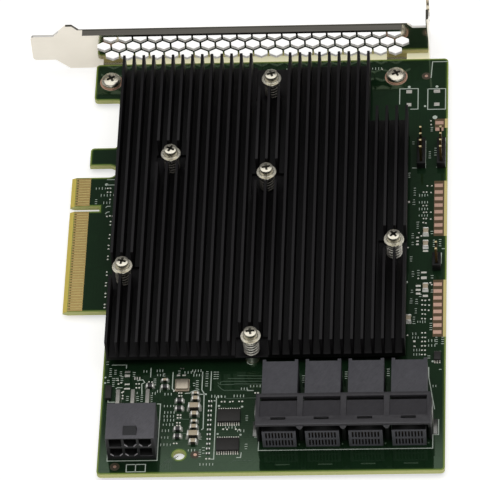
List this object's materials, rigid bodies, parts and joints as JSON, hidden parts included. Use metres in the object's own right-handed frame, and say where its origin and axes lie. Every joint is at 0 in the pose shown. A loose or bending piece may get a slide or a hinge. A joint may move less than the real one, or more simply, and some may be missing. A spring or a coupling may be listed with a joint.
{
  "type": "storage controller card",
  "caption": "Full-height bus card with a black finned heatsink, ganged drive connectors, a supply inlet, gold edge contacts and a perforated mounting bracket.",
  "frame": {"origin": "centre of the key notch on the bottom edge of the finger tab, on the board's underside", "axes": "+X to the card's top edge, +Y along the card to the mounting bracket, +Z out of the component side"},
  "size_m": [0.1255, 0.169, 0.0185],
  "materials": {
    "solder_mask": "dark green solder mask over glass laminate",
    "gold_plate": "gold plate over copper",
    "bracket_steel": "bright nickel plated steel sheet",
    "screw_nickel": "nickel plated steel",
    "black_anodised": "black anodised extruded aluminium",
    "spring_steel": "bright spring wire",
    "standoff_tin": "tin plated brass",
    "chip_lid": "matte nickel lid on a laminate carrier",
    "thermal_pad": "soft gap filler",
    "port_plastic": "dark grey glass filled moulding",
    "lock_steel": "tinned steel sheet",
    "power_plastic": "black moulded nylon",
    "tinned_pin": "bright tin plate",
    "chip_epoxy": "black epoxy",
    "header_plastic": "black moulded plastic",
    "capacitor_ceramic": "fired tan ceramic",
    "ferrite": "dark sintered ferrite",
    "bare_copper": "bare copper with an organic finish"
  },
  "bodies": {
    "root": {"circuit_board": "solder_mask", "edge_contacts_front": "gold_plate", "edge_contacts_back": "gold_plate", "mounting_bracket": "bracket_steel", "bracket_screws": "screw_nickel", "heatsink": "black_anodised", "heatsink_screws": "screw_nickel", "heatsink_springs": "spring_steel", "heatsink_standoffs": "standoff_tin", "controller_chip_1": "chip_lid", "controller_chip_2": "chip_lid", "switch_chip": "chip_lid", "thermal_pad_1": "thermal_pad", "thermal_pad_2": "thermal_pad", "thermal_pad_3": "thermal_pad", "port_shroud": "port_plastic", "port_module_1": "port_plastic", "port_module_2": "port_plastic", "port_module_3": "port_plastic", "port_module_4": "port_plastic", "port_contacts": "gold_plate", "board_lock_left": "lock_steel", "board_lock_right": "lock_steel", "power_housing": "power_plastic", "power_pins": "tinned_pin", "logic_chip_1": "chip_epoxy", "logic_chip_2": "chip_epoxy", "logic_chip_leads": "tinned_pin", "header_1": "header_plastic", "header_2": "header_plastic", "header_3": "header_plastic", "header_pins": "gold_plate", "large_capacitors": "capacitor_ceramic", "small_capacitors": "capacitor_ceramic", "tiny_capacitors": "capacitor_ceramic", "edge_capacitors": "capacitor_ceramic", "capacitor_ends": "tinned_pin", "ferrite_beads": "ferrite", "bead_ends": "tinned_pin", "small_resistors": "ferrite", "crystal_tray": "capacitor_ceramic", "crystal_can": "lock_steel", "edge_choke": "ferrite", "regulator_chip": "chip_epoxy", "bypass_capacitors": "capacitor_ceramic", "test_pads": "bare_copper"}
  },
  "joints": []
}
